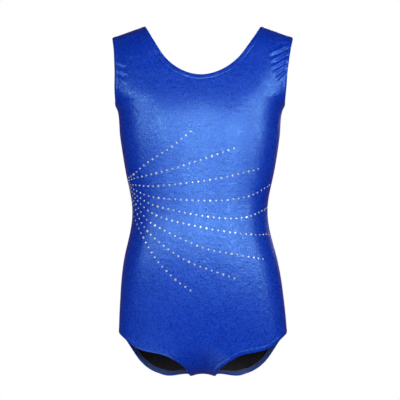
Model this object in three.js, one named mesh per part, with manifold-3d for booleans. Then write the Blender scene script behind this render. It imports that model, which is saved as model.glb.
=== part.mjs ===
// A sleeveless gymnastics leotard in its worn shape: two stretch panels, their linings, the elastics in the
// turned-in hems, the seams, the gusset, a label and nine rows of stones that fan across the front.
// Millimetres, +Z up. The front faces -Y and the wearer's left side is +X.

import * as THREE from "three";
import { mergeVertices } from "three/addons/utils/BufferGeometryUtils.js";
import Module from "manifold-3d";

const wasm = await Module();
wasm.setup();

// ---------------------------------------------------------------- driving dimensions
// Heights are measured from the crotch seam. The last lines of the file hang everything from the shoulders.

const shoulderHeight = 500; // crotch seam to the middle of the shoulder straps
const neckTip = [83.5, 505]; // where the neckline crosses the top of the shoulder
const armTip = [131.5, 488]; // where the armhole edge crosses the top of the shoulder
const underarmHeight = 390;
const hipHeight = 60; // top of the leg opening, at the side seam
const crotchHalfWidth = 17;

const fabric = 0.8; // panel thickness
const lining = 0.5;
const elastic = 1.0;
const seamAllowance = 0.8;
const gussetFabric = 0.5;
const label = 0.4;
const layerGap = 0.3; // clear space between two layers
const hemWidth = 7; // width of the elastic in each hem
const hemInset = 0.6; // from the edge of the fabric to the elastic
const seamHalfWidth = 4;
const panelGap = 0.3; // clear space between the two panels along a seam
const stoneRowWidth = 2.4;
const stoneHeight = 1.4;
const seamClearance = hemInset + hemWidth + 1; // from a free edge to the end of a seam
const crotchSeamHalfLength = 8.5;
const gussetInset = hemInset + hemWidth + 0.5;
const gussetFront = { halfWidth: 34, height: 62 };
const gussetBack = { halfWidth: 26, height: 30 };
const labelHalfWidth = 16;
const labelSpan = [352, 384]; // from its lower to its upper edge

// Half width, front depth and back depth of the body, each as [height, value].
const halfWidth = [
  [-60, 112], [0, 118], [60, 121.5], [122, 117.5], [165, 111.5], [209, 101], [232, 98], [255, 99.5],
  [296, 108], [345, 115.5], [378, 118.5], [392, 124], [404, 132], [425, 138.5], [460, 141.5], [540, 142],
];
const frontDepth = [
  [-60, 37], [0, 46], [40, 57], [90, 67.5], [130, 73.2], [165, 76], [200, 76.5], [232, 75.5], [290, 76],
  [345, 77.5], [385, 75.5], [432, 63], [470, 50], [540, 38],
];
const backDepth = [
  [-60, 56], [0, 79], [45, 93], [90, 92], [140, 79], [190, 67], [232, 65], [280, 70], [335, 79], [385, 82],
  [432, 76], [470, 63], [540, 46],
];
const sectionPower = 2.3; // 2 is an ellipse; more is squarer
const shoulderFall = (neckTip[1] - armTip[1]) / (armTip[0] - neckTip[0]);
const shoulderRound = 45; // height over which the body rounds over at the shoulders
const crotchRound = 55; // the same at the crotch
const crotchArch = { top: 1, flatness: 100, lowest: -40 }; // the underside of the body, arched at the crotch

// Edges of the panels, seen from the front, as [x, height] from the outside inwards.
const armEdge = [armTip, [128, 468], [125, 438], [124.4, 416], [123.6, 400], [123, underarmHeight]];
const frontNeckEdge = [neckTip, [71, 484], [52, 457], [28, 439], [0, 432]];
const backNeckEdge = [neckTip, [78, 475], [62, 430], [34, 403], [0, 395]];
const frontLegEdge = [[122, hipHeight], [94, 40], [53, 30], [28.5, 14.5], [crotchHalfWidth, 0]];
const backLegEdge = [[122, hipHeight], [90.5, 11.5], [57, -6.5], [25, -2.5], [crotchHalfWidth, 0]];

// The stone rows, seen from the front, from the wearer's right side outwards, as [x, height].
const stoneRows = [
  [[-104, 284], [-95, 289.5], [-75, 306], [-42, 327], [-13, 350]],
  [[-103, 280], [-94, 284], [-62, 291], [-10, 306], [48, 326]],
  [[-102, 276], [-94, 274.5], [-59, 273], [18, 282], [83, 297]],
  [[-101, 272], [-85, 263.5], [-60, 256], [17, 252], [68, 258], [100, 274]],
  [[-100, 267.5], [-90, 259], [-61, 244], [14, 229], [63, 228], [97, 241]],
  [[-99, 262.5], [-92, 255], [-62, 231], [9, 213], [71, 204], [98, 204]],
  [[-97.5, 256], [-83, 234], [-66, 218], [-1, 187], [48, 176], [89, 169]],
  [[-97, 250], [-82, 218], [-58, 193], [-18, 166], [47, 142]],
  [[-97, 243], [-92, 222], [-66, 173], [-40, 143], [-16, 125]],
];

// How finely the body is cut into facets.
const quarterColumns = 7; // in each quarter turn
const middleRows = 12; // up the straight part
const roundRows = 4; // over each rounded end
const columnSpread = 1.25; // over 1 makes the facets at the middle of the front and back narrower
const heightPasses = 6; // a point's height and width depend on each other, so they are worked out in turns
const edgeSteps = 4; // between two points of an edge
const stoneRowSteps = 3; // between two points of a stone row

const far = 240; // past every side of the body
const above = 530; // past the top of the body
const below = -20; // past the underside of the body at the crotch
const aboveWaist = 400;
const belowChest = 100;
const weld = 1e-4; // corners closer than this are one corner
const bodyWeld = 1e-3; // the same on the body, whose end rows close to a line
const nothing = 1e-6; // a distance that counts as zero

// ---------------------------------------------------------------- the body surface

// A smooth line through [position, value] points.
function along(points, at) {
  const last = points.length - 1;
  if (at <= points[0][0]) return points[0][1];
  if (at >= points[last][0]) return points[last][1];
  let i = 0;
  while (points[i + 1][0] < at) i += 1;
  const slope = (k) => {
    const low = points[Math.max(k - 1, 0)];
    const high = points[Math.min(k + 1, last)];
    return (high[1] - low[1]) / (high[0] - low[0]);
  };
  const [start, end] = [points[i], points[i + 1]];
  const span = end[0] - start[0];
  const t = (at - start[0]) / span;
  const rise = (2 * t ** 3 - 3 * t ** 2 + 1) * start[1] + (3 * t ** 2 - 2 * t ** 3) * end[1];
  const lean = (t ** 3 - 2 * t ** 2 + t) * slope(i) + (t ** 3 - t ** 2) * slope(i + 1);
  return rise + lean * span;
}

// The top of the body falls from the neck to the arm, and its underside rises into an arch at the crotch.
const topAt = (x) => neckTip[1] - shoulderFall * (Math.abs(x) - neckTip[0]);
const bottomAt = (x) => Math.max(crotchArch.top - x ** 2 / crotchArch.flatness, crotchArch.lowest);

// Facets are narrowest at the middle of the front and back, where the crotch needs them.
function turnAt(column) {
  const quarter = Math.floor(column / quarterColumns);
  const share = (column % quarterColumns) / quarterColumns;
  const fromMiddle = quarter % 2 === 0 ? share ** columnSpread : 1 - (1 - share) ** columnSpread;
  return (quarter + fromMiddle) * (Math.PI / 2);
}

// A point on the body. turn goes round it from the front (0) by way of +X; row goes up it from 0 to 1.
function bodyPoint(turn, row) {
  const across = Math.sin(turn);
  const forward = Math.cos(turn);
  const share = Math.sign(across) * Math.abs(across) ** (2 / sectionPower);
  const rows = middleRows + 2 * roundRows;
  const step = row * rows;
  let x = 0;
  let z = row * topAt(0);
  let closing = 1;
  for (let pass = 0; pass < heightPasses; pass += 1) {
    x = share * along(halfWidth, z);
    const low = bottomAt(x) + crotchRound;
    const high = topAt(x) - shoulderRound;
    if (step < roundRows) {
      const angle = (step / roundRows) * (Math.PI / 2);
      z = low - crotchRound * Math.cos(angle);
      closing = Math.sin(angle);
    } else if (step > rows - roundRows) {
      const angle = ((rows - step) / roundRows) * (Math.PI / 2);
      z = high + shoulderRound * Math.cos(angle);
      closing = Math.sin(angle);
    } else {
      z = low + ((high - low) * (step - roundRows)) / middleRows;
      closing = 1;
    }
  }
  const depth = along(forward > 0 ? frontDepth : backDepth, z);
  const y = -Math.sign(forward) * Math.abs(forward) ** (2 / sectionPower) * depth * closing;
  return new THREE.Vector3(x, Math.abs(y) < nothing ? 0 : y, z);
}

// ---------------------------------------------------------------- solids

function toSolid(geometry) {
  const bare = geometry.clone();
  bare.deleteAttribute("normal");
  bare.deleteAttribute("uv");
  const merged = mergeVertices(bare, weld);
  return new wasm.Manifold(
    new wasm.Mesh({
      numProp: 3,
      vertProperties: new Float32Array(merged.attributes.position.array),
      triVerts: new Uint32Array(merged.index.array),
    }),
  );
}

function toGeometry(solid) {
  const mesh = solid.getMesh();
  const geometry = new THREE.BufferGeometry();
  geometry.setAttribute("position", new THREE.BufferAttribute(mesh.vertProperties, 3));
  geometry.setIndex(new THREE.BufferAttribute(mesh.triVerts, 1));
  return geometry;
}

// The closed skin of the body.
function bodyGeometry() {
  const rows = middleRows + 2 * roundRows;
  const columns = 4 * quarterColumns;
  const positions = [];
  for (let row = 0; row <= rows; row += 1) {
    for (let column = 0; column < columns; column += 1) {
      const point = bodyPoint(turnAt(column), row / rows);
      positions.push(point.x, point.y, point.z);
    }
  }
  const indices = [];
  for (let row = 0; row < rows; row += 1) {
    for (let column = 0; column < columns; column += 1) {
      const next = (column + 1) % columns;
      const [a, b] = [row * columns + column, row * columns + next];
      const [c, d] = [a + columns, b + columns];
      const wearersLeft = column < columns / 2;
      indices.push(...(wearersLeft ? [a, b, d, a, d, c] : [a, b, c, b, d, c]));
    }
  }
  const geometry = new THREE.BufferGeometry();
  geometry.setAttribute("position", new THREE.Float32BufferAttribute(positions, 3));
  geometry.setIndex(indices);
  const skin = mergeVertices(geometry, bodyWeld);
  skin.computeVertexNormals();
  return skin;
}

const skin = bodyGeometry();

// The body, with its whole surface moved inwards by depth.
function body(depth) {
  const geometry = skin.clone();
  const position = geometry.attributes.position;
  const normal = skin.attributes.normal;
  for (let i = 0; i < position.count; i += 1) {
    position.setXYZ(
      i,
      position.getX(i) - normal.getX(i) * depth,
      position.getY(i) - normal.getY(i) * depth,
      position.getZ(i) - normal.getZ(i) * depth,
    );
  }
  return toSolid(geometry);
}

// A skin of the given thickness whose outer face lies at depth below the body's surface.
const layer = (depth, thickness) => body(depth).subtract(body(depth + thickness));

// A solid with the given outline, seen from the front, between two planes across Y.
function prism(outline, nearY, farY) {
  const shape = new THREE.Shape(outline.map(([x, z]) => new THREE.Vector2(x, z)));
  const geometry = new THREE.ExtrudeGeometry(shape, { depth: farY - nearY, bevelEnabled: false });
  geometry.rotateX(Math.PI / 2);
  geometry.translate(0, farY, 0);
  return toSolid(geometry);
}

function box(lowX, highX, lowY, highY, lowZ, highZ) {
  const geometry = new THREE.BoxGeometry(highX - lowX, highY - lowY, highZ - lowZ);
  geometry.translate((lowX + highX) / 2, (lowY + highY) / 2, (lowZ + highZ) / 2);
  return toSolid(geometry);
}

// ---------------------------------------------------------------- outlines

// Points along a smooth line through the given points.
function smooth(points, steps = edgeSteps) {
  const curve = new THREE.SplineCurve(points.map(([x, z]) => new THREE.Vector2(x, z)));
  return curve.getPoints(steps * (points.length - 1)).map((point) => [point.x, point.y]);
}

// The same line moved sideways: positive is to the right of its direction of travel.
function shifted(points, distance) {
  return points.map(([x, z], i) => {
    const [fromX, fromZ] = points[Math.max(i - 1, 0)];
    const [toX, toZ] = points[Math.min(i + 1, points.length - 1)];
    const length = Math.hypot(toX - fromX, toZ - fromZ);
    return [x + ((toZ - fromZ) / length) * distance, z - ((toX - fromX) / length) * distance];
  });
}

const mirrored = (points) => points.map(([x, z]) => [-x, z]);

// Each edge, moved into the fabric by inset.
const armLine = (inset) => {
  const line = shifted([[armTip[0], above], ...smooth(armEdge)], inset);
  const [underarm] = line.pop();
  return [...line, [underarm, underarmHeight - inset], [far, underarmHeight - inset]];
};
const neckLine = (edge, inset) => {
  const right = [[neckTip[0], above], ...smooth(edge)];
  const left = mirrored(right).reverse();
  return shifted([...right, ...left.slice(1)], -inset);
};
const legLine = (edge, inset) => {
  const [hip, next, ...rest] = smooth(edge);
  const pastHip = [2 * hip[0] - next[0], 2 * hip[1] - next[1]];
  return shifted([pastHip, hip, next, ...rest, [crotchHalfWidth, below]], inset);
};

// The whole outline of a panel, with every free edge moved in by inset. The sides run past the body.
function panelOutline(neckEdge, legEdge, inset) {
  const side = [...armLine(inset), [far, hipHeight + inset], ...legLine(legEdge, inset)];
  return [...neckLine(neckEdge, inset).reverse(), ...side, ...mirrored(side).reverse()];
}

// The strip between two insets of one open edge.
const strip = (line, from, to) => [...line(from), ...line(to).reverse()];

// ---------------------------------------------------------------- sub-parts

const liningDepth = fabric + layerGap;
const innerDepth = liningDepth + lining + layerGap;

function panel(neckEdge, legEdge, depth, thickness, inset, nearY, farY) {
  return layer(depth, thickness).intersect(prism(panelOutline(neckEdge, legEdge, inset), nearY, farY));
}

const frontOf = [-far, -panelGap / 2];
const backOf = [panelGap / 2, far];

function frontPanel() {
  return panel(frontNeckEdge, frontLegEdge, 0, fabric, 0, ...frontOf);
}

function backPanel() {
  return panel(backNeckEdge, backLegEdge, 0, fabric, 0, ...backOf);
}

function frontLining() {
  return panel(frontNeckEdge, frontLegEdge, liningDepth, lining, hemInset, ...frontOf);
}

function backLining() {
  return panel(backNeckEdge, backLegEdge, liningDepth, lining, hemInset, ...backOf);
}

function neckElastic() {
  const band = (edge) => strip((inset) => neckLine(edge, inset), hemInset, hemInset + hemWidth);
  const ring = prism(band(frontNeckEdge), -far, 0).add(prism(band(backNeckEdge), 0, far));
  return layer(innerDepth, elastic).intersect(ring);
}

function armholeElastic(side) {
  const band = strip(armLine, hemInset, hemInset + hemWidth);
  const ring = layer(innerDepth, elastic).intersect(prism(band, -far, far));
  return side > 0 ? ring : ring.mirror([1, 0, 0]);
}

function legElastic(side) {
  const front = strip((inset) => legLine(frontLegEdge, inset), hemInset, hemInset + hemWidth);
  const back = strip((inset) => legLine(backLegEdge, inset), hemInset, hemInset + hemWidth);
  const ring = layer(innerDepth, elastic).intersect(prism(front, -far, 0).add(prism(back, 0, far)));
  return side > 0 ? ring : ring.mirror([1, 0, 0]);
}

function sideSeam(side) {
  const ends = [hipHeight + seamClearance + seamHalfWidth, underarmHeight - seamClearance];
  const strap = box(0, far, -seamHalfWidth, seamHalfWidth, ...ends);
  const seam = layer(innerDepth, seamAllowance).intersect(strap);
  return side > 0 ? seam : seam.mirror([1, 0, 0]);
}

function shoulderSeam(side) {
  const ends = [neckTip[0] + seamClearance, armTip[0] - seamClearance];
  const strap = box(...ends, -seamHalfWidth, seamHalfWidth, aboveWaist, above);
  const seam = layer(innerDepth, seamAllowance).intersect(strap);
  return side > 0 ? seam : seam.mirror([1, 0, 0]);
}

function crotchGusset() {
  const front = prism(panelOutline(frontNeckEdge, frontLegEdge, gussetInset), -far, 0);
  const back = prism(panelOutline(backNeckEdge, backLegEdge, gussetInset), 0, far);
  const frontReach = box(-gussetFront.halfWidth, gussetFront.halfWidth, -far, 0, -far, gussetFront.height);
  const backReach = box(-gussetBack.halfWidth, gussetBack.halfWidth, 0, far, -far, gussetBack.height);
  const shape = front.intersect(frontReach).add(back.intersect(backReach));
  return layer(innerDepth, gussetFabric).intersect(shape);
}

function crotchSeam() {
  const depth = innerDepth + gussetFabric + layerGap;
  const ends = [-crotchSeamHalfLength, crotchSeamHalfLength];
  const strap = box(...ends, -seamHalfWidth, seamHalfWidth, below, belowChest);
  return layer(depth, seamAllowance).intersect(strap);
}

function careLabel() {
  const depth = innerDepth + elastic + layerGap;
  return layer(depth, label).intersect(box(-labelHalfWidth, labelHalfWidth, 0, far, ...labelSpan));
}

function stoneRow(points) {
  const line = smooth(points, stoneRowSteps);
  const ribbon = [...shifted(line, stoneRowWidth / 2), ...shifted(line, -stoneRowWidth / 2).reverse()];
  return layer(-layerGap - stoneHeight, stoneHeight).intersect(prism(ribbon, -far, 0));
}

// ---------------------------------------------------------------- materials

const finish = (color, roughness, metalness) => () =>
  new THREE.MeshStandardMaterial({ color, roughness, metalness });

const foil = finish(0x1440c0, 0.35, 0.7);
const knit = finish(0x16141c, 0.85, 0);
const rubber = finish(0x2b3a78, 0.8, 0);
const thread = finish(0x1b2a66, 0.8, 0);
const cotton = finish(0x20202a, 0.9, 0);
const tape = finish(0xe8e8ee, 0.7, 0);
const crystal = finish(0xeef4ff, 0.1, 0.2);

// ---------------------------------------------------------------- assembly

const leotard = new THREE.Group();

function place(name, solid, material) {
  const mesh = new THREE.Mesh(toGeometry(solid), material());
  mesh.name = name;
  leotard.add(mesh);
}

place("front_panel", frontPanel(), foil);
place("back_panel", backPanel(), foil);
place("front_lining", frontLining(), knit);
place("back_lining", backLining(), knit);
place("neck_elastic", neckElastic(), rubber);
for (const [name, side] of [["left", 1], ["right", -1]]) {
  place(`${name}_armhole_elastic`, armholeElastic(side), rubber);
  place(`${name}_leg_elastic`, legElastic(side), rubber);
  place(`${name}_side_seam`, sideSeam(side), thread);
  place(`${name}_shoulder_seam`, shoulderSeam(side), thread);
}
place("crotch_gusset", crotchGusset(), cotton);
place("crotch_seam", crotchSeam(), thread);
place("care_label", careLabel(), tape);
stoneRows.forEach((points, i) => place(`stone_row_${i + 1}`, stoneRow(points), crystal));

leotard.position.z = -shoulderHeight;

export default leotard;
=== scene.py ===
"""A sleeveless gymnastics leotard in its worn shape: foil stretch panels with turned-in elastic hems, a dark
lining, overlocked seams and nine rows of crystal stones that fan out from the wearer's right side.

Shapes are worked out in millimetres, with heights above the crotch seam, and placed in the frame by to_frame.
The front faces -Y and the wearer's left side is +X."""

import math
import random

import bpy
import numpy as np
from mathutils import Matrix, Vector
from mathutils.bvhtree import BVHTree


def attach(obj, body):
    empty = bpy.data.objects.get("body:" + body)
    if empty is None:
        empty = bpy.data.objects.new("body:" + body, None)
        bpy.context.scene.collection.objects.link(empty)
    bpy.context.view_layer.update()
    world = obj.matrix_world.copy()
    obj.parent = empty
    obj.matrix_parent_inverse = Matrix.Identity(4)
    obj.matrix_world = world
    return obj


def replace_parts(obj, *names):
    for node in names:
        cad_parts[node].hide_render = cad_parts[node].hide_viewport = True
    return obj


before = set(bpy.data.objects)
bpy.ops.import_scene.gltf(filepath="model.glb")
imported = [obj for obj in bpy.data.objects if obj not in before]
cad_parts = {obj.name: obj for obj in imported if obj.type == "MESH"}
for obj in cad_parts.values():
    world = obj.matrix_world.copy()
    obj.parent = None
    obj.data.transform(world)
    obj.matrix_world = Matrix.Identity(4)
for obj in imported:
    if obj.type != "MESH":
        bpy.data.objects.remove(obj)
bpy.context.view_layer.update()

# ---------------------------------------------------------------- driving dimensions, as in the CAD model
# The lines of the edges run on past the corners of the panels.

SHOULDER_HEIGHT = 500.0  # crotch seam to the frame's origin
NECK_TIP = (83.5, 505.0)
ARM_TIP = (131.5, 488.0)
UNDERARM_HEIGHT = 390.0
CROTCH_HALF_WIDTH = 17.0
SHOULDER_ROUND = 45.0
CROTCH_ROUND = 55.0
CROTCH_ARCH = (1, 100, -40)  # the underside of the body: its top, its flatness and its lowest point
SECTION_POWER = 2.3
SHOULDER_FALL = (NECK_TIP[1] - ARM_TIP[1]) / (ARM_TIP[0] - NECK_TIP[0])

HALF_WIDTH = [
    (-60, 112), (0, 118), (60, 121.5), (122, 117.5), (165, 111.5), (209, 101), (232, 98), (255, 99.5),
    (296, 108), (345, 115.5), (378, 118.5), (392, 124), (404, 132), (425, 138.5), (460, 141.5), (540, 142),
]
FRONT_DEPTH = [
    (-60, 37), (0, 46), (40, 57), (90, 67.5), (130, 73.2), (165, 76), (200, 76.5), (232, 75.5), (290, 76),
    (345, 77.5), (385, 75.5), (432, 63), (470, 50), (540, 38),
]
BACK_DEPTH = [
    (-60, 56), (0, 79), (45, 93), (90, 92), (140, 79), (190, 67), (232, 65), (280, 70), (335, 79), (385, 82),
    (432, 76), (470, 63), (540, 46),
]
ARM_EDGE = [(390, 123), (400, 123.6), (416, 124.4), (438, 125), (468, 128), (488, 131.5), (520, 137)]
FRONT_NECK = [(-28, 439), (0, 432), (28, 439), (52, 457), (71, 484), (83.5, 505), (95, 525)]
BACK_NECK = [(-34, 403), (0, 395), (34, 403), (62, 430), (78, 475), (83.5, 505), (90, 535)]
FRONT_LEG = [(17, -1.9), (20, 3.5), (28.5, 14.5), (53, 30), (94, 40), (122, 60)]
BACK_LEG = [(17, -1.9), (25, -2.5), (57, -6.5), (90.5, 11.5), (122, 60)]

# Each stone row: the line that it follows, and where across the front its larger stones are.
STONE_ROWS = [
    ([(-104, 284), (-95, 289.5), (-75, 306), (-42, 327), (-13, 350)], [-95, -42]),
    ([(-103, 280), (-94, 284), (-62, 291), (-10, 306), (48, 326)], [-62, 13]),
    ([(-102, 276), (-94, 274.5), (-59, 273), (18, 282), (83, 297)], [-59, 18, 71]),
    ([(-101, 272), (-85, 263.5), (-60, 256), (17, 252), (68, 258), (100, 274)], [-60, 17, 68]),
    ([(-100, 267.5), (-90, 259), (-61, 244), (14, 229), (63, 228), (97, 241)], [-61, 14, 63]),
    ([(-99, 262.5), (-92, 255), (-62, 231), (9, 213), (71, 204), (98, 204)], [-62, 9, 71]),
    ([(-97.5, 256), (-83, 234), (-66, 218), (-1, 187), (48, 176), (89, 169)], [-66, -1, 48]),
    ([(-97, 250), (-82, 218), (-58, 193), (-18, 166), (47, 142)], [-73, -18, 29]),
    ([(-97, 243), (-92, 222), (-66, 173), (-40, 143), (-16, 125)], [-82, -40]),
]

# How the cloth is made up. A reach is a distance in from a folded edge, a depth one below the outer face.
FOIL_THICK = 0.45
HEM_ROLL = 1.2  # radius of the folded edge
HEM_WIDTH = 7.0
HEM_REACHES = (1.4, 2.8, 4.2, 5.6, HEM_WIDTH)
FOLD_STEPS = 6
SEAM_SINK = 0.5  # how far the seams draw the cloth in
SEAM_DEPTHS = (0.9, 1.3, 1.8, 2.3)
SEAM_SPREAD = 0.12
LINING_DEPTH = 0.75
LINING_THICK = 0.3
LINING_INSET = 4.5
ELASTIC_DEPTH = 0.9
ELASTIC_THICK = 0.9
ELASTIC_REACHES = (1.4, 3.1, 4.8, 6.4)
STITCH_REACH = 6.2

# How far the worn garment sits off its centre line, as (height, distance to the wearer's left).
SWAY = [
    (-10, 2.0), (60, 2.2), (90, 1.4), (130, 0.0), (180, -1.5), (230, -2.2), (400, -2.0), (440, -0.5),
    (470, 1.0), (500, 2.2),
]

# The grid of points that each panel is made of.
INNER_WIDTH = 110.0  # the half width that columns near the middle are spaced by
STRAIGHT_SHARE = 0.7  # of the half width, the middle part where columns run straight up
GRID_STEP = 2.6  # between columns
ROWS = 241
ARM_ROWS = 92  # of the rows, those that reach the armhole edge
COLUMN_SAMPLES = 1200
ACROSS_SAMPLES = 6000
CLOSED = 0.25  # share of the full depth below which the grid, not the section formula, gives the normals


# ---------------------------------------------------------------- the body surface

def smooth(points, at):
    """A smooth line through (position, value) points, at an array of positions."""
    place, value = np.array(points, float).T
    slope = np.gradient(value, place)
    slope[1:-1] = (value[2:] - value[:-2]) / (place[2:] - place[:-2])
    at = np.clip(at, place[0], place[-1])
    i = np.clip(np.searchsorted(place, at, side="right") - 1, 0, len(place) - 2)
    span = place[i + 1] - place[i]
    t = (at - place[i]) / span
    rise = (2 * t**3 - 3 * t**2 + 1) * value[i] + (3 * t**2 - 2 * t**3) * value[i + 1]
    lean = (t**3 - 2 * t**2 + t) * slope[i] + (t**3 - t**2) * slope[i + 1]
    return rise + lean * span


def top_at(x):
    return NECK_TIP[1] - SHOULDER_FALL * (np.abs(x) - NECK_TIP[0])


def bottom_at(x):
    top, flatness, lowest = CROTCH_ARCH
    return np.maximum(top - x**2 / flatness, lowest)


def round_over(distance, radius):
    """From 0 at the end of a rounded form to 1 where it is past its rounding."""
    left = np.clip(1 - distance / radius, 0, 1)
    return np.sqrt(1 - left**2)


def closing(x, z):
    """From 0 on the shoulder line and the crotch line to 1 on the open stretch of the body between them."""
    return round_over(top_at(x) - z, SHOULDER_ROUND) * round_over(z - bottom_at(x), CROTCH_ROUND)


def depth_at(side, x, z):
    return smooth(FRONT_DEPTH if side < 0 else BACK_DEPTH, z) * closing(x, z)


def body_y(side, x, z):
    """How far forward (side -1) or back (side 1) the body lies at x and height z."""
    share = np.clip(np.abs(x) / smooth(HALF_WIDTH, z), 0, 1)
    section = (1 - share**SECTION_POWER) ** (1 / SECTION_POWER)
    return side * depth_at(side, x, z) * section


def body_normals(side, points):
    """Outward directions of the body surface, from the slope of its section formula."""
    def level(x, y, z):
        wide = np.abs(x) / smooth(HALF_WIDTH, z)
        deep = np.abs(y) / np.maximum(depth_at(side, x, z), 0.01)
        return wide**SECTION_POWER + deep**SECTION_POWER

    x, y, z = points[..., 0], points[..., 1], points[..., 2]
    step = 0.05
    return unit(np.stack([
        level(x + step, y, z) - level(x - step, y, z),
        level(x, y + step, z) - level(x, y - step, z),
        level(x, y, z + step) - level(x, y, z - step),
    ], -1))


def side_x(z):
    """Half the width of a panel at height z: to the side seam, or to the rolled armhole edge above it."""
    arm = smooth(ARM_EDGE, z) - HEM_ROLL * np.clip((z - UNDERARM_HEIGHT) / 6, 0, 1)
    return np.where(z < UNDERARM_HEIGHT, smooth(HALF_WIDTH, z), arm)


def rolled(points, x, sign, share=1.0):
    """Height of an edge at x, moved into the panel by the radius of its rolled hem."""
    step = 0.5
    slope = (smooth(points, x + step) - smooth(points, x - step)) / (2 * step)
    return smooth(points, x) + sign * share * HEM_ROLL * np.sqrt(1 + slope**2)


def to_frame(points):
    """From millimetres above the crotch seam to metres in the frame."""
    points = np.array(points, float)
    points[..., 0] += smooth(SWAY, points[..., 2])
    points[..., 2] -= SHOULDER_HEIGHT
    return points / 1000


def unit(vectors):
    return vectors / np.maximum(np.linalg.norm(vectors, axis=-1, keepdims=True), 1e-9)


def arc(points):
    """Distance travelled along a line of points."""
    steps = np.linalg.norm(np.diff(points, axis=0), axis=1)
    return np.concatenate([[0], np.cumsum(steps)])


def softened(vectors):
    """Evens out the directions along a run, apart from its ends."""
    vectors = np.array(vectors)
    for _ in range(8):
        vectors[1:-1] = (vectors[:-2] + 2 * vectors[1:-1] + vectors[2:]) / 4
    return unit(vectors)


def ease(t):
    t = np.clip(t, 0, 1)
    return t * t * (3 - 2 * t)


# ---------------------------------------------------------------- a panel's grid

def column_x(share, z):
    """How far out a column runs at height z: straight up near the middle, and along the panel's side at its
    end."""
    weight = ease((np.abs(share) - STRAIGHT_SHARE) / (1 - STRAIGHT_SHARE))
    return share * (weight * side_x(z) + (1 - weight) * INNER_WIDTH)


def column_ends(side, share):
    """Lowest and highest height of a panel along columns at these shares of its half width."""
    neck, leg = (FRONT_NECK, FRONT_LEG) if side < 0 else (BACK_NECK, BACK_LEG)
    high, low = np.full(share.shape, 450.0), np.full(share.shape, 10.0)
    for _ in range(30):
        x = column_x(share, high)
        high = (high + np.minimum(rolled(neck, x, -1), top_at(x))) / 2
        x = column_x(share, low)
        past = x - CROTCH_HALF_WIDTH
        edge = np.where(past > 0, rolled(leg, x, 1, ease(past / 4)), -99)
        low = (low + np.maximum(edge, bottom_at(x))) / 2
    return low, high


def column_shares(side):
    """Where the columns lie, as shares of the half width. No step is longer than GRID_STEP along the section,
    the neckline or the leg edge, and a column falls on the crotch corner and on the neck tip."""
    dense = np.sin(np.linspace(0, math.pi / 2, ACROSS_SAMPLES)) ** (2 / SECTION_POWER)
    low, high = column_ends(side, dense)
    width, depth = 115, 75  # a usual section
    round_part = (1 - dense**SECTION_POWER) ** (1 / SECTION_POWER)
    lines = [np.stack([width * dense, depth * round_part, 0 * dense], 1)]
    for z in (low, high):
        x = column_x(dense, z)
        lines.append(np.stack([x, body_y(side, x, z), z], 1))
    steps = np.max([np.linalg.norm(np.diff(line, axis=0), axis=1) for line in lines], axis=0)
    way = np.concatenate([[0], np.cumsum(steps)])
    x = column_x(dense, high)
    neck = FRONT_NECK if side < 0 else BACK_NECK
    tip = int(np.argmax(rolled(neck, x, -1) > top_at(x)))
    crotch = int(np.argmax(column_x(dense, low) > CROTCH_HALF_WIDTH))
    stops = [0, crotch, tip, len(dense) - 1]
    pieces = []
    for start, end in zip(stops, stops[1:]):
        count = max(int(math.ceil((way[end] - way[start]) / GRID_STEP)), 2)
        pieces.append(np.interp(np.linspace(way[start], way[end], count + 1)[:-1], way, dense))
    half = np.concatenate([*pieces, [1.0]])
    return half, len(pieces[0]), len(pieces[0]) + len(pieces[1])


class Panel:
    """One side of the garment as a grid of points and outward normals. Columns run from the wearer's right
    side to the left, rows from the crotch up."""

    def __init__(self, side):
        self.side = side
        half, crotch, tip = column_shares(side)
        middle = len(half) - 1
        self.shares = np.concatenate([-half[:0:-1], half])
        self.crotch = (middle - crotch, middle + crotch)
        self.neck = (middle - tip, middle + tip)
        self.underarm = ROWS - ARM_ROWS
        low, high = column_ends(side, np.abs(self.shares))
        self.points = np.array([self.column(*of) for of in zip(self.shares, low, high)])
        self.points[[0, -1], : self.underarm + 1, 1] = 0  # the side seams
        self.normals = self.find_normals()
        self.tree = self.body_tree = self.make_tree()

    def column(self, share, low, high):
        spread = 0.5 - 0.5 * np.cos(np.linspace(0, math.pi, COLUMN_SAMPLES))
        z = low + (high - low) * spread
        x = column_x(share, z)
        line = np.stack([x, body_y(self.side, x, z), z], 1)
        way = arc(line) / arc(line)[-1]
        rows = np.linspace(0, 1, ROWS)
        rows = rows - 0.5 * np.sin(2 * math.pi * rows) / (2 * math.pi)  # closer together at the hems
        at_arm = np.interp(UNDERARM_HEIGHT, z, way)
        uneven = np.interp(rows, [0, rows[self.underarm], 1], [0, at_arm, 1])
        weight = ease((abs(share) - 0.3) / 0.7)
        fractions = (1 - weight) * rows + weight * uneven
        return np.stack([np.interp(fractions, way, line[:, k]) for k in range(3)], 1)

    def find_normals(self):
        across = np.gradient(self.points, axis=0)
        up = np.gradient(self.points, axis=1)
        normals = unit(np.cross(across, up) * -self.side)
        open_body = closing(self.points[..., 0], self.points[..., 2]) > CLOSED
        normals[open_body] = body_normals(self.side, self.points)[open_body]
        for column in (0, -1):
            normals[column, : self.underarm + 1, 1] = 0
        a, b = self.neck
        normals[: a + 1, -1, 1] = 0
        normals[b:, -1, 1] = 0
        a, b = self.crotch
        normals[a : b + 1, 0, 1] = 0
        return unit(normals)

    def make_tree(self):
        count_i, count_j = self.points.shape[:2]
        flat = [Vector(p) for p in self.points.reshape(-1, 3)]
        return BVHTree.FromPolygons(flat, grid_faces(count_i, count_j, self.side < 0))


def grid_faces(count_i, count_j, forward):
    """Faces of a grid whose points are listed column by column."""
    faces = []
    for i in range(count_i - 1):
        for j in range(count_j - 1):
            a = i * count_j + j
            face = [a, a + count_j, a + count_j + 1, a + 1]
            faces.append(face if forward else face[::-1])
    return faces


# ---------------------------------------------------------------- edges of a panel

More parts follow.
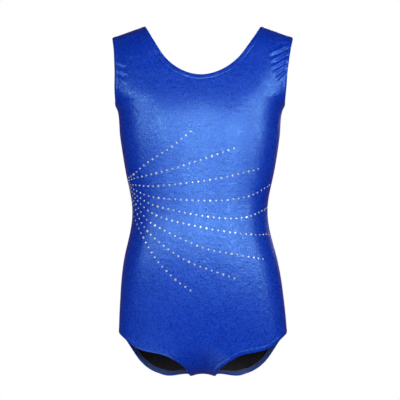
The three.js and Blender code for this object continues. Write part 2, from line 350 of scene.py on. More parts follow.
class Edge:
    """A run of boundary points of a panel, with the outward normal and the way into the panel at each."""

    def __init__(self, panel, pairs, inner):
        self.panel = panel
        self.pairs = pairs
        self.base = np.array([panel.points[pair] for pair in pairs])
        self.normal = np.array([panel.normals[pair] for pair in pairs])
        inner_points = np.array([panel.points[pair] for pair in inner])
        travel = unit(np.gradient(self.base, axis=0))
        inward = unit(np.cross(self.normal, travel))
        if np.sum(inward * (inner_points - self.base)) < 0:
            inward *= -1
        for end in (0, -1):
            if abs(self.base[end, 1]) < 4:
                inward[end, 1] = 0
        self.inward = softened(inward)
        self.normal = softened(self.normal)

    def under(self, reach, depth):
        """Points at this distance in from the edge and this depth below the body surface, without gathers."""
        found = []
        for point, outward in zip(self.base + self.inward * reach, self.normal):
            place, normal, _, _ = self.panel.body_tree.find_nearest(Vector(point))
            if normal.dot(Vector(outward)) < 0:
                normal.negate()
            found.append(place - normal * depth)
        return np.array(found)


def edges_of(panel):
    """The panel's hems and seams by name. Right and left are the wearer's."""
    last_i, last_j = len(panel.shares) - 1, ROWS - 1
    (neck_a, neck_b), (crotch_a, crotch_b), arm = panel.neck, panel.crotch, panel.underarm

    def along(a, b, row, inner_row):
        """An edge that runs across the panel, from column a to column b."""
        columns = range(a, b + 1)
        return Edge(panel, [(i, row) for i in columns], [(i, inner_row) for i in columns])

    def upright(a, b, column, inner_column):
        """An edge that runs up the panel, from row a to row b."""
        rows = range(a, b + 1)
        return Edge(panel, [(column, j) for j in rows], [(inner_column, j) for j in rows])

    top, foot = (last_j, last_j - 3), (0, 3)
    right, left = (0, 3), (last_i, last_i - 3)
    return {
        "neck": along(neck_a, neck_b, *top),
        "right_shoulder": along(0, neck_a, *top),
        "left_shoulder": along(neck_b, last_i, *top),
        "right_leg": along(0, crotch_a, *foot),
        "left_leg": along(crotch_b, last_i, *foot),
        "crotch": along(crotch_a, crotch_b, *foot),
        "right_arm": upright(arm, last_j, *right),
        "left_arm": upright(arm, last_j, *left),
        "right_side": upright(0, arm, *right),
        "left_side": upright(0, arm, *left),
    }


def nearest_on(line, points):
    """Distance from each point to a line of points, and how far along the line the nearest one is."""
    way = arc(line)
    flat = points.reshape(-1, 3)
    distance, along = np.empty(len(flat)), np.empty(len(flat))
    batch = 4000
    for start in range(0, len(flat), batch):
        part = flat[start : start + batch]
        gaps = np.linalg.norm(part[:, None] - line[None], axis=2)
        best = np.argmin(gaps, axis=1)
        distance[start : start + batch] = gaps[np.arange(len(part)), best]
        along[start : start + batch] = way[best]
    return distance.reshape(points.shape[:2]), along.reshape(points.shape[:2])


def waves(along, length, seed):
    """An uneven run of small folds about one length apart, between -1 and 1."""
    draw = random.Random(seed)
    total = 0
    for factor, weight in ((1.0, 0.6), (0.71, 0.3), (1.43, 0.35)):
        phase = draw.uniform(0, 2 * math.pi)
        total = total + weight * np.sin(2 * math.pi * along / (length * factor) + phase)
    return np.clip(total, -1, 1)


# How each hem draws the cloth up: fold spacing, fold height, and how far in the folds reach.
GATHERS = {"arm": (4.0, 0.6, 8.0), "leg": (7.0, 0.22, 10.0), "neck": (11.0, 0.08, 9.0)}
BUNCH_HEIGHT = 455  # where the armholes take up the most cloth
BUNCH_SPREAD = 18
HEM_SWELL = 0.25  # how far the elastic lifts the cloth
SWELL_MIDDLE = 3.4
STITCH_DIP = 0.22
SLACK = 0.2  # height of the slow unevenness all over

# Folds in the front panel: the end to the wearer's right, the end to the left, height and half width. The
# wearer's left armhole draws in a fan of them and the right one a few. Each shoulder seam has one below it,
# and one lies low on the belly.
FOLDS = [
    ((94, 461), (119, 472.5), 1.6, 2.6),
    ((97, 450), (119, 464), 1.8, 2.5),
    ((99, 440.5), (118, 453), 1.6, 2.2),
    ((102, 431.5), (118, 445), 1.4, 2.0),
    ((105, 422), (118, 435), 1.1, 2.0),
    ((112, 471), (126, 476), 0.6, 1.6),
    ((100, 479), (124, 483), 0.5, 2.4),
    ((-121, 470), (-102, 459), 0.5, 3.0),
    ((-122, 452), (-110, 446), 0.7, 2.4),
    ((-122, 441), (-108, 434), 0.7, 2.4),
    ((-122, 430), (-109, 421), 0.6, 2.4),
    ((-118, 486), (-92, 494), 0.5, 2.2),
    ((-26, 68), (-8, 55), 0.25, 1.6),
]


def folds(points):
    """Height of the separate folds: each is a ridge with a trough below it, fading towards its ends."""
    x, z = points[..., 0], points[..., 2]
    total = np.zeros(x.shape)
    for start, end, lift, half in FOLDS:
        way = np.array(end, float) - start
        length = np.linalg.norm(way)
        way /= length
        along = ((x - start[0]) * way[0] + (z - start[1]) * way[1]) / length
        across = ((z - start[1]) * way[0] - (x - start[0]) * way[1]) / half
        window = ease(along / 0.45) * (1 - ease((along - 1.0) / 0.25))
        total += lift * window * (np.exp(-(across**2)) - 0.8 * np.exp(-((across + 1.9) ** 2)))
    return total


def relief(panel, edges):
    """How far the cloth stands out from the body at each grid point."""
    points = panel.points
    height = np.zeros(points.shape[:2])
    for seed, (name, edge) in enumerate(edges.items()):
        kind = name.split("_")[-1]
        if kind not in GATHERS:
            continue
        length, lift, reach = GATHERS[kind]
        distance, along = nearest_on(edge.base, points)
        ripples = waves(along, length, 10 * seed + (3 if panel.side < 0 else 4))
        level = lift
        if kind == "arm":
            level = lift * (0.25 + np.exp(-(((points[..., 2] - BUNCH_HEIGHT) / BUNCH_SPREAD) ** 2)))
        bunched = 0.8 * (1 + ripples)  # outwards only: the elastic under it is taut
        height += level * bunched * np.exp(-((distance / reach) ** 2)) * (0.3 + 0.7 * ease(distance / 4))
        height += HEM_SWELL * np.clip(1 - ((distance - SWELL_MIDDLE) / SWELL_MIDDLE) ** 2, 0, 1)
        height -= STITCH_DIP * np.exp(-(((distance - STITCH_REACH) / 0.9) ** 2))
    if panel.side < 0:
        height += folds(points)
    x, z = points[..., 0], points[..., 2]
    return height + SLACK * np.sin(z / 23 + x / 31) * np.sin(x / 19 - z / 47)


# ---------------------------------------------------------------- meshes

class Cloth:
    """A mesh in the making: points in millimetres, and faces."""

    def __init__(self, forward=True):
        self.points, self.faces, self.marks, self.forward = [], [], [], forward

    def add(self, points):
        start = len(self.points)
        self.points.extend(points)
        return list(range(start, len(self.points)))

    def face(self, corners, mark=0):
        self.faces.append(corners if self.forward else corners[::-1])
        self.marks.append(mark)

    def grid(self, points, mark=0):
        ids = np.array(self.add(points.reshape(-1, 3))).reshape(points.shape[:2])
        for i in range(len(ids) - 1):
            for j in range(len(ids[0]) - 1):
                self.face([ids[i][j], ids[i + 1][j], ids[i + 1][j + 1], ids[i][j + 1]], mark)
        return ids

    def grow(self, ids, rings, flip, mark=0):
        """Adds strips of faces outwards from a run of points, one for each ring."""
        for ring in rings:
            new = self.add(ring)
            for k in range(len(ids) - 1):
                corners = [ids[k], ids[k + 1], new[k + 1], new[k]]
                self.face(corners[::-1] if flip else corners, mark)
            ids = new
        return ids

    def make(self, name, materials, smooth_shade=True):
        mesh = bpy.data.meshes.new(name)
        mesh.from_pydata(to_frame(self.points).tolist(), [], [[int(k) for k in f] for f in self.faces])
        mesh.polygons.foreach_set("material_index", self.marks)
        mesh.polygons.foreach_set("use_smooth", [smooth_shade] * len(self.faces))
        mesh.update()
        piece = bpy.data.objects.new(name, mesh)
        bpy.context.scene.collection.objects.link(piece)
        for material in materials:
            mesh.materials.append(material)
        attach(piece, "root")
        return piece


def thicken(piece, thickness, inner_material=0):
    """Gives a sheet its thickness, growing away from its outer face."""
    solid = piece.modifiers.new("thickness", "SOLIDIFY")
    solid.thickness = thickness / 1000
    solid.offset = -1
    solid.material_offset = inner_material
    solid.material_offset_rim = 0


# ---------------------------------------------------------------- materials

def start_material(name):
    material = bpy.data.materials.new(name)
    material.use_nodes = True
    nodes = material.node_tree.nodes
    shader = next(node for node in nodes if node.type == "BSDF_PRINCIPLED")
    place = nodes.new("ShaderNodeTexCoord").outputs["Object"]
    return material, nodes, material.node_tree.links, shader, place


def grain(nodes, links, place, kind, scale, stretch=(1, 1, 1), detail=2.0):
    """A procedural pattern of the given scale, in repeats per metre."""
    mapping = nodes.new("ShaderNodeMapping")
    mapping.inputs["Scale"].default_value = stretch
    links.new(place, mapping.inputs["Vector"])
    pattern = nodes.new(kind)
    pattern.inputs["Scale"].default_value = scale
    if "Detail" in pattern.inputs:
        pattern.inputs["Detail"].default_value = detail
    links.new(mapping.outputs["Vector"], pattern.inputs["Vector"])
    return pattern


def ramp(nodes, links, value, stops):
    """A colour ramp through (position, colour) stops."""
    node = nodes.new("ShaderNodeValToRGB")
    elements = node.color_ramp.elements
    while len(elements) < len(stops):
        elements.new(0.5)
    for element, (position, colour) in zip(elements, stops):
        element.position = position
        element.color = (*colour, 1)
    links.new(value, node.inputs["Fac"])
    return node.outputs["Color"]


def math_node(nodes, links, operation, a, b):
    node = nodes.new("ShaderNodeMath")
    node.operation = operation
    for socket, value in zip(node.inputs, (a, b)):
        if isinstance(value, (int, float)):
            socket.default_value = value
        else:
            links.new(value, socket)
    return node.outputs[0]


def bump(nodes, links, height, strength, distance, normal=None):
    node = nodes.new("ShaderNodeBump")
    node.inputs["Strength"].default_value = strength
    node.inputs["Distance"].default_value = distance
    links.new(height, node.inputs["Height"])
    if normal is not None:
        links.new(normal, node.inputs["Normal"])
    return node.outputs["Normal"]


def foil():
    """Royal blue foil print on a stretch knit: every flake of foil has its own shade and gloss, and the cloth
    under it is never quite smooth."""
    material, nodes, links, shader, place = start_material("foil_fabric")
    flakes = grain(nodes, links, place, "ShaderNodeTexVoronoi", 520)
    mottle = grain(nodes, links, place, "ShaderNodeTexNoise", 60, (1, 1, 1.6), 3)
    cockle = grain(nodes, links, place, "ShaderNodeTexNoise", 110, (1, 1, 1.5), 2)
    fine = grain(nodes, links, place, "ShaderNodeTexNoise", 480, detail=2)
    split = nodes.new("ShaderNodeSeparateColor")
    links.new(flakes.outputs["Color"], split.inputs["Color"])

    def mixed(share, of):
        """A value that varies from flake to flake, and a little from place to place."""
        flake = math_node(nodes, links, "MULTIPLY", split.outputs[of], 1 - share)
        area = math_node(nodes, links, "MULTIPLY", mottle.outputs["Fac"], share)
        return math_node(nodes, links, "ADD", flake, area)

    colour = ramp(nodes, links, mixed(0.3, "Red"), [
        (0.0, (0.001, 0.020, 0.50)), (0.5, (0.002, 0.040, 0.69)), (1.0, (0.009, 0.080, 0.90)),
    ])
    links.new(colour, shader.inputs["Base Color"])
    rough = nodes.new("ShaderNodeMapRange")
    links.new(mixed(0.25, "Green"), rough.inputs["Value"])
    rough.inputs["To Min"].default_value = 0.15
    rough.inputs["To Max"].default_value = 0.40
    links.new(rough.outputs["Result"], shader.inputs["Roughness"])
    uneven = bump(nodes, links, cockle.outputs["Fac"], 0.4, 0.0008)
    links.new(bump(nodes, links, fine.outputs["Fac"], 0.7, 0.0004, uneven), shader.inputs["Normal"])
    shader.inputs["Metallic"].default_value = 0.1
    shader.inputs["IOR"].default_value = 2.06
    shader.inputs["Specular Tint"].default_value = (0.40, 0.92, 1.0, 1)
    shader.inputs["Sheen Weight"].default_value = 0.3
    shader.inputs["Sheen Roughness"].default_value = 0.3
    shader.inputs["Sheen Tint"].default_value = (0.80, 0.35, 0.70, 1)
    return material


def knit(name, dark, light, scale, rough, stretch=(1, 1, 1), strength=0.35):
    """A plain knit: fine loops, mottled a little, with a soft bloom."""
    material, nodes, links, shader, place = start_material(name)
    loops = grain(nodes, links, place, "ShaderNodeTexVoronoi", scale, stretch)
    mottle = grain(nodes, links, place, "ShaderNodeTexNoise", scale / 25, stretch, 4)
    loop = math_node(nodes, links, "MULTIPLY", loops.outputs["Distance"], 0.8)
    area = math_node(nodes, links, "MULTIPLY", mottle.outputs["Fac"], 0.5)
    level = math_node(nodes, links, "ADD", loop, area)
    links.new(ramp(nodes, links, level, [(0.15, light), (0.85, dark)]), shader.inputs["Base Color"])
    links.new(bump(nodes, links, loops.outputs["Distance"], strength, 0.0003), shader.inputs["Normal"])
    shader.inputs["Roughness"].default_value = rough
    shader.inputs["Sheen Weight"].default_value = 0.15
    shader.inputs["Sheen Roughness"].default_value = 0.5
    return material


def crystal():
    """Clear cut glass over a silver back, which reads as bright white."""
    material, nodes, links, shader, place = start_material("crystal")
    tint = grain(nodes, links, place, "ShaderNodeTexNoise", 300, detail=1)
    links.new(ramp(nodes, links, tint.outputs["Fac"], [(0.3, (0.78, 0.93, 1.0)), (0.7, (0.93, 0.98, 1.0))]),
              shader.inputs["Base Color"])
    shader.inputs["Roughness"].default_value = 0.18
    shader.inputs["Metallic"].default_value = 0.15
    shader.inputs["IOR"].default_value = 2.2
    shader.inputs["Coat Weight"].default_value = 1.0
    shader.inputs["Coat Roughness"].default_value = 0.03
    return material


def silver():
    """The foil cup under each stone."""
    material, nodes, links, shader, place = start_material("stone_back")
    tint = grain(nodes, links, place, "ShaderNodeTexNoise", 900, detail=2)
    links.new(ramp(nodes, links, tint.outputs["Fac"], [(0.3, (0.55, 0.58, 0.65)), (0.7, (0.8, 0.82, 0.88))]),
              shader.inputs["Base Color"])
    shader.inputs["Roughness"].default_value = 0.3
    shader.inputs["Metallic"].default_value = 1.0
    return material


def paper():
    """The pale floor. It glows, so that it looks pale however little light reaches it."""
    material, nodes, links, shader, place = start_material("floor_paper")
    tone = grain(nodes, links, place, "ShaderNodeTexNoise", 3, detail=4)
    links.new(ramp(nodes, links, tone.outputs["Fac"], [(0.3, (0.84, 0.84, 0.85)), (0.7, (0.88, 0.88, 0.88))]),
              shader.inputs["Base Color"])
    shader.inputs["Roughness"].default_value = 0.8
    shader.inputs["Emission Color"].default_value = (0.93, 0.93, 0.94, 1)
    shader.inputs["Emission Strength"].default_value = 0.75
    return material


FOIL = foil()
REVERSE = knit("foil_reverse", (0.030, 0.060, 0.260), (0.060, 0.110, 0.400), 1500, 0.75)
# The turned-in strips of the hems are the foil face folded inwards. Their lighter, greyer blue is painted
# reflection of the pale surroundings on that face in shade.
TURNED_IN_PAINTED_REFLECTION = knit("turned_in_painted_reflection", (0.070, 0.125, 0.380), (0.150, 0.250, 0.720), 1500, 0.6)
LINING = knit("lining_knit", (0.011, 0.009, 0.015), (0.052, 0.043, 0.072), 1300, 0.85, (1, 1, 0.2))
ELASTIC = knit("elastic", (0.020, 0.035, 0.140), (0.050, 0.080, 0.300), 900, 0.8)
THREAD = knit("seam_thread", (0.010, 0.025, 0.150), (0.030, 0.075, 0.360), 2600, 0.7)
COTTON = knit("gusset_cotton", (0.008, 0.008, 0.012), (0.028, 0.028, 0.036), 1400, 0.9)
TAPE = knit("label_tape", (0.70, 0.70, 0.73), (0.88, 0.88, 0.90), 2200, 0.6, (1, 1, 0.3), 0.2)
CRYSTAL = crystal()
SILVER = silver()


# ---------------------------------------------------------------- the cloth pieces

HEMS = ("neck", "right_arm", "left_arm", "right_leg", "left_leg")
GROWS_BACKWARDS = ("right_leg", "left_leg", "crotch", "left_arm", "left_side")  # against the grid's order
PAINTED_REFLECTION_MARK = 2  # the material of the cloth that is turned in: a matt knit whose lighter, greyer blue is painted reflection of the pale surroundings, in place of the foil face's own gloss


def hem_rings(edge):
    """A rolled edge, and the cloth turned back inside behind it."""
    rings = []
    for step in range(1, FOLD_STEPS + 1):
        angle = math.pi * step / FOLD_STEPS
        lean = edge.normal * math.cos(angle) - edge.inward * math.sin(angle)
        rings.append(edge.base - edge.normal * HEM_ROLL + lean * HEM_ROLL)
    for reach in HEM_REACHES:
        rings.append(edge.under(reach, 2 * HEM_ROLL))
    return rings


def seam_rings(edge):
    """The seam allowance, turned straight in."""
    rings = []
    for depth in SEAM_DEPTHS:
        ring = edge.base - edge.normal * depth
        ring[:, 1] += SEAM_SPREAD * edge.panel.side
        rings.append(ring)
    return rings


def panel_cloth(panel, name):
    edges = edges_of(panel)
    raised = panel.points + panel.normals * relief(panel, edges)[..., None]
    seams = [edge for key, edge in edges.items() if key not in HEMS]
    for seam in seams:
        for pair in seam.pairs:
            raised[pair] = panel.points[pair] - panel.normals[pair] * SEAM_SINK
    panel.points = raised
    panel.tree = panel.make_tree()
    panel.edges = edges_of(panel)
    cloth = Cloth(panel.side < 0)
    ids = cloth.grid(panel.points)
    for key, edge in panel.edges.items():
        start = [ids[pair] for pair in edge.pairs]
        rings = hem_rings(edge) if key in HEMS else seam_rings(edge)
        flip = key in GROWS_BACKWARDS
        if key in HEMS:
            turned = cloth.grow(start, rings[:FOLD_STEPS], flip)
            # the turned-in part takes the matt knit with the painted reflection
            cloth.grow(turned, rings[FOLD_STEPS:], flip, PAINTED_REFLECTION_MARK)
        else:
            cloth.grow(start, rings, flip)
    piece = cloth.make(name, [FOIL, REVERSE, TURNED_IN_PAINTED_REFLECTION])
    thicken(piece, FOIL_THICK, 1)
    return piece


def lining_cloth(panel, name):
    """A thinner sheet just inside the panel. Its edges are caught in the hems."""
    points, normals = panel.points, panel.normals
    ripple = np.sin(points[..., 0] / 1.9) * np.exp(-np.clip(points[..., 2], 0, 400) / 60)
    sheet = points - normals * (LINING_DEPTH + 0.2 * ripple)[..., None]
    hems = [edge for key, edge in panel.edges.items() if key in HEMS]
    kept = np.min([nearest_on(edge.base, points)[0] for edge in hems], axis=0) > LINING_INSET
    kept[:, [0, -1]] = False
    cloth = Cloth(panel.side < 0)
    numbers = np.full(kept.shape, -1)
    numbers[kept] = cloth.add(sheet[kept])
    for i in range(len(numbers) - 1):
        for j in range(len(numbers[0]) - 1):
            corners = [numbers[i, j], numbers[i + 1, j], numbers[i + 1, j + 1], numbers[i, j + 1]]
            if min(corners) >= 0:
                cloth.face(corners)
    piece = cloth.make(name, [LINING])
    thicken(piece, LINING_THICK)
    return piece


# Sizes of the gusset patch and the care label. Worn, the linings are about a fifth larger in area than as
# cut, and the outer panels with their hems about a third.
GUSSET_HALF = 9.5
GUSSET_PARTS = (  # length, growth in half width, where that starts and over what length
    ("back", 58, 16, 0, 60),
    ("front", 90, 24, 20, 75),
)
GUSSET_DEPTH = 1.0
SEAM_RIDGE = 2.2  # how far the crotch seam lifts the gusset
LABEL_HALF = 16.0
LABEL_TOP = 385
LABEL_PROFILE = (  # height and depth, down its back and up its front
    (LABEL_TOP, 2.9), (378, 3.0), (370, 3.2), (361, 3.4), (353.5, 3.6), (352.3, 3.8), (352.3, 4.2),
    (353.5, 4.4), (361, 4.5), (370, 4.4), (378, 4.1), (LABEL_TOP, 3.8),
)

panels = {}
bodies = {}
for label, side in (("front", -1), ("back", 1)):
    panels[label] = Panel(side)
    bodies[label] = panels[label].points.copy()
    cloth_piece = panel_cloth(panels[label], f"{label}_panel_cloth")
    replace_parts(cloth_piece, f"{label}_panel")
    lining_piece = lining_cloth(panels[label], f"{label}_lining_cloth")
    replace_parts(lining_piece, f"{label}_lining")


# ---------------------------------------------------------------- elastics, seams, gusset and label

def elastic_band(opening, name):
    """A flat elastic inside a hem, all the way round its opening."""
    front, back = panels["front"].edges[opening], panels["back"].edges[opening]
    rows = []
    for reach in ELASTIC_REACHES:
        there = front.under(reach, ELASTIC_DEPTH)
        again = back.under(reach, ELASTIC_DEPTH)[::-1]
        rows.append(np.concatenate([there, again]))
    rows = np.array(rows)
    rows = np.concatenate([rows, rows[:, :1]], axis=1)
    turn = np.cross(rows[1, 4] - rows[0, 4], rows[0, 5] - rows[0, 4])
    cloth = Cloth(bool(np.dot(turn, front.normal[4]) > 0))  # with its faces outwards
    cloth.grid(rows)
    piece = cloth.make(name, [ELASTIC])
    thicken(piece, ELASTIC_THICK)
    return piece


def resample(line, step):
    way = arc(line)
    count = max(int(round(way[-1] / step)), 2)
    at = np.linspace(0, way[-1], count + 1)
    return np.stack([np.interp(at, way, line[:, k]) for k in range(3)], 1)


def thread_piece(name, lines, radius):
    """Sewing thread along lines of points."""
    curve = bpy.data.curves.new(name, "CURVE")
    curve.dimensions = "3D"
    curve.bevel_depth = radius / 1000
    curve.bevel_resolution = 1
    curve.use_fill_caps = True
    for line in lines:
        spline = curve.splines.new("POLY")
        spline.points.add(len(line) - 1)
        spline.points.foreach_set("co", np.c_[to_frame(line), np.ones(len(line))].ravel())
        spline.use_smooth = True
    piece = bpy.data.objects.new(name, curve)
    bpy.context.scene.collection.objects.link(piece)
    curve.materials.append(THREAD)
    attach(piece, "root")
    return piece


OVERLOCK_PITCH = 2.2
OVERLOCK_REACH = (1.1, 2.6)  # from the outer face of the cloth, inwards
OVERLOCK_HALF = 0.85
THREAD_RADIUS = 0.2


def overlock(edge, name, trim):
    """Overlock thread round the seam allowances along an edge, leaving trim at both ends for the hems."""
    way = arc(edge.base)
    steps = int((way[-1] - 2 * trim) / OVERLOCK_PITCH)
    line = []
    for k in range(steps):
        for part, (depth, across) in enumerate(((0, 1), (1, 1), (1, -1), (0, -1))):
            at = trim + (k + part / 4) * OVERLOCK_PITCH
            base = np.array([np.interp(at, way, edge.base[:, n]) for n in range(3)])
            normal = np.array([np.interp(at, way, edge.normal[:, n]) for n in range(3)])
            spot = base - unit(normal) * OVERLOCK_REACH[depth]
            spot[1] = across * OVERLOCK_HALF
            line.append(spot)
    return thread_piece(name, [np.array(line)], THREAD_RADIUS)


STITCH_PITCH = 2.9
STITCH_LENGTH = 2.2
STITCH_RADIUS = 0.16
STITCH_PATH = ((0, 0.25), (0.2, -0.06), (0.8, -0.06), (1, 0.25))  # share of its length, depth


def stitches(edge):
    """Topstitching along a hem: short runs of thread that dip into the cloth at both ends."""
    lines = []
    outer = resample(edge.under(STITCH_REACH, 0), 0.55)
    way = arc(outer)
    count = int(way[-1] / STITCH_PITCH)
    for k in range(count):
        start = (k + 0.15) * way[-1] / count
        line = []
        for share, sink in STITCH_PATH:
            at = start + share * STITCH_LENGTH
            spot = Vector([float(np.interp(at, way, outer[:, n])) for n in range(3)])
            place, normal, _, _ = edge.panel.tree.find_nearest(spot)
            line.append(place - normal * sink)
        lines.append(np.array(line))
    return lines


def gusset():
    """A cotton patch inside the crotch, between the leg hems, from the back panel to the front one."""
    rows = []
    for label, length, grow, start, over in GUSSET_PARTS:
        panel = panels[label]
        body = bodies[label]
        middle = len(panel.shares) // 2
        way = arc(body[middle])
        found = []
        for j in range(0, int(np.searchsorted(way, length)), 2):
            half = GUSSET_HALF + grow * ease((way[j] - start) / over)
            across = np.linspace(-half, half, 21)
            line = [np.interp(across, body[:, j, 0], body[:, j, n]) for n in range(3)]
            normal = [np.interp(across, body[:, j, 0], panel.normals[:, j, n]) for n in range(3)]
            depth = GUSSET_DEPTH + SEAM_RIDGE * math.exp(-((way[j] / 5) ** 2))
            found.append(np.stack(line, 1) - unit(np.stack(normal, 1)) * depth)
        rows.extend(found[:0:-1] if label == "back" else found)
    cloth = Cloth(False)
    cloth.grid(np.array(rows))
    piece = cloth.make("gusset_cotton_patch", [COTTON])
    thicken(piece, 0.4)
    return piece


def care_label():
    """A blank woven tape, folded at its foot and hanging inside the back from the neck hem."""
    rows = []
    for height, depth in LABEL_PROFILE:
        row = []
        for x in np.linspace(-LABEL_HALF, LABEL_HALF, 17):
            spot = Vector((x, float(body_y(1, np.array(x), np.array(float(height)))), height))
            place, normal, _, _ = panels["back"].tree.find_nearest(spot)
            row.append(place - normal * (depth + 0.3 * math.cos(x / 5) * (LABEL_TOP - height) / 33))
        rows.append(np.array(row))
    cloth = Cloth(True)
    cloth.grid(np.array(rows))
    piece = cloth.make("label_tape_folded", [TAPE])
    thicken(piece, 0.15)
    return piece


for opening, node in (
    ("neck", "neck_elastic"),
    ("left_arm", "left_armhole_elastic"),
    ("right_arm", "right_armhole_elastic"),
    ("left_leg", "left_leg_elastic"),
    ("right_leg", "right_leg_elastic"),
):
    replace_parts(elastic_band(opening, f"{node}_band"), node)
for seam in ("left_side", "right_side", "left_shoulder", "right_shoulder", "crotch"):
    edge = panels["front"].edges[seam]
    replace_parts(overlock(edge, f"{seam}_overlock", HEM_WIDTH + 0.6), f"{seam}_seam")
for opening in HEMS:
    runs = [run for panel in panels.values() for run in stitches(panel.edges[opening])]
    thread_piece(f"{opening}_topstitch", runs, STITCH_RADIUS)
gusset_piece = gusset()
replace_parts(gusset_piece, "crotch_gusset")
label_piece = care_label()
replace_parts(label_piece, "care_label")


# ---------------------------------------------------------------- stones

def spline(points, steps=24):
    """A smooth line through (x, z) points."""
    points = np.array(points, float)
    ends = np.concatenate([[2 * points[0] - points[1]], points, [2 * points[-1] - points[-2]]])
    t = np.linspace(0, 1, steps, endpoint=False)[:, None]
    line = []
    for a, b, c, d in zip(ends, ends[1:], ends[2:], ends[3:]):
        bend = 2 * a - 5 * b + 4 * c - d
        twist = 3 * b - a - 3 * c + d
        line.append(0.5 * (2 * b + (c - a) * t + bend * t**2 + twist * t**3))
    return np.concatenate([*line, points[-1:]])


STONE_RADIUS = 1.35
LARGE_STONE_RADIUS = 1.75
STONE_PITCH = 8.4


def stone_places(row):
    """Where the stones of a row sit on the front panel, evenly spaced along the cloth."""
    flat = spline(row)
    line = np.stack([flat[:, 0], body_y(-1, flat[:, 0], flat[:, 1]), flat[:, 1]], 1)
    way = arc(line)
    count = int(round(way[-1] / STONE_PITCH))
    at = np.linspace(0, way[-1], count + 1)
    return np.stack([np.interp(at, way, line[:, k]) for k in range(3)], 1)


def add_stone(cloth, centre, normal, radius, spin):
    """One flat-backed stone: a foil cup, a girdle, two rings of facets and a table."""
    up = Vector(normal)
    side = up.orthogonal().normalized()
    other = up.cross(side)

    def ring(count, share, height, turn):
        found = []
        for k in range(count):
            angle = 2 * math.pi * (k + turn) / count + spin
            spot = side * math.cos(angle) * radius * share + other * math.sin(angle) * radius * share
            found.append(Vector(centre) + spot + up * radius * height)
        return cloth.add(found)

    foot, rim = ring(16, 1.06, -0.05, 0), ring(16, 1.06, 0.14, 0)
    girdle, crown, table = ring(16, 0.98, 0.24, 0), ring(8, 0.80, 0.42, 0.25), ring(8, 0.58, 0.52, 0.25)
    cloth.face(foot[::-1], 1)
    for k in range(16):
        after = (k + 1) % 16
        cloth.face([foot[k], foot[after], rim[after], rim[k]], 1)
        cloth.face([rim[k], rim[after], girdle[after], girdle[k]], 1)
    for k in range(8):
        after = (k + 1) % 8
        cloth.face([girdle[2 * k], girdle[2 * k + 1], crown[k]])
        cloth.face([girdle[2 * k + 1], girdle[(2 * k + 2) % 16], crown[after], crown[k]])
        cloth.face([crown[k], crown[after], table[after], table[k]])
    cloth.face(table)


def stone_row(row, large_at, name, seed):
    draw = random.Random(seed)
    cloth = Cloth()
    tree = panels["front"].tree
    places = stone_places(row)
    large = {int(np.argmin(np.abs(places[:, 0] - x))) for x in large_at}
    for k, place in enumerate(places):
        spot, normal, _, _ = tree.find_nearest(Vector(place))
        radius = LARGE_STONE_RADIUS if k in large else STONE_RADIUS * draw.uniform(0.94, 1.06)
        add_stone(cloth, spot, normal, radius, draw.uniform(0, 1))
    return cloth.make(name, [CRYSTAL, SILVER], smooth_shade=False)


for number, (row, large_at) in enumerate(STONE_ROWS, start=1):
    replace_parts(stone_row(row, large_at, f"stones_{number}", number), f"stone_row_{number}")


# ---------------------------------------------------------------- camera and light

CAMERA_HEIGHT = 253.0
CAMERA_DISTANCE = 3.0
CAMERA_ASIDE = -0.0022
VIEW_WIDTH = 0.580  # across the frame, at the side seams
FLOOR_HEIGHT = -2.2
FLOOR_HALF = 4.0
BOUNCE_HEIGHT = -1.05  # the card that lights the garment from below
LIGHT_DISTANCE = 2.0
SOFTBOX_SIZE = (0.9, 0.3)
SOFTBOXES = [  # name, degrees to the wearer's left, degrees above the chest, watts
    ("front_softbox", 0, 2, 7.0),
    ("left_front_softbox", 30, 2, 7.0),
    ("right_front_softbox", -30, 5, 6.0),
    ("left_softbox", 60, 2, 4.5),
    ("left_high_softbox", 60, 20, 4.0),
    ("front_high_softbox", 0, 20, 3.0),
    ("right_softbox", -60, 5, 3.5),
]


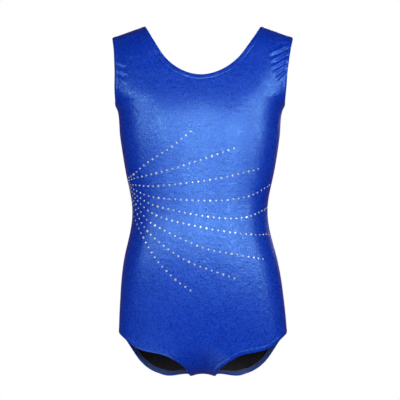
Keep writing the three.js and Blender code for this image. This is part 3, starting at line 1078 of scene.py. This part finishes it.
def studio():
    camera = bpy.data.objects.new("camera", bpy.data.cameras.new("camera"))
    bpy.context.scene.collection.objects.link(camera)
    camera.location = (CAMERA_ASIDE, -CAMERA_DISTANCE, (CAMERA_HEIGHT - SHOULDER_HEIGHT) / 1000)
    camera.rotation_euler = (math.radians(90), 0, 0)
    camera.data.lens = camera.data.sensor_width * CAMERA_DISTANCE / VIEW_WIDTH
    camera.data.clip_end = 100
    bpy.context.scene.camera = camera

    def area(name, place, target, size, power):
        light = bpy.data.objects.new(name, bpy.data.lights.new(name, "AREA"))
        light.data.shape = "RECTANGLE"
        light.data.size, light.data.size_y = size
        light.data.energy = power
        light.visible_camera = False
        light.location = place
        light.rotation_euler = (Vector(target) - Vector(place)).to_track_quat("-Z", "Y").to_euler()
        bpy.context.scene.collection.objects.link(light)

    chest = Vector((0, 0, -0.2))
    for name, turn, lift, power in SOFTBOXES:
        turn, lift = math.radians(turn), math.radians(lift)
        way = Vector((math.sin(turn) * math.cos(lift), -math.cos(turn) * math.cos(lift), math.sin(lift)))
        area(name, chest + LIGHT_DISTANCE * way, chest, SOFTBOX_SIZE, power)
    area("bounce_card", (-0.45, -0.2, BOUNCE_HEIGHT), (0, -0.05, -0.4), (0.9, 0.6), 1.2)
    area("back_softbox", (0.5, 2.2, 0.4), chest, (1.6, 0.8), 26)

    mesh = bpy.data.meshes.new("floor")
    half = FLOOR_HALF
    corners = [(-half, -half), (half, -half), (half, half), (-half, half)]
    mesh.from_pydata([(x, y, FLOOR_HEIGHT) for x, y in corners], [], [(0, 1, 2, 3)])
    mesh.materials.append(paper())
    floor = bpy.data.objects.new("floor", mesh)
    bpy.context.scene.collection.objects.link(floor)
    floor.visible_diffuse = False  # its glow lights nothing
    floor.visible_glossy = False

    world = bpy.data.worlds.new("studio")
    bpy.context.scene.world = world
    world.use_nodes = True
    nodes, links = world.node_tree.nodes, world.node_tree.links
    nodes.clear()
    dim, bright = nodes.new("ShaderNodeBackground"), nodes.new("ShaderNodeBackground")
    dim.inputs["Color"].default_value = (0.9, 0.93, 1.0, 1)
    dim.inputs["Strength"].default_value = 0.02
    bright.inputs["Color"].default_value = (1, 1, 1, 1)
    bright.inputs["Strength"].default_value = 1.0
    seen = nodes.new("ShaderNodeLightPath")
    mix = nodes.new("ShaderNodeMixShader")
    out = nodes.new("ShaderNodeOutputWorld")
    links.new(seen.outputs["Is Camera Ray"], mix.inputs["Fac"])
    links.new(dim.outputs["Background"], mix.inputs[1])
    links.new(bright.outputs["Background"], mix.inputs[2])
    links.new(mix.outputs["Shader"], out.inputs["Surface"])

    bpy.context.scene.view_settings.view_transform = "Standard"
    bpy.context.scene.view_settings.look = "None"


studio()
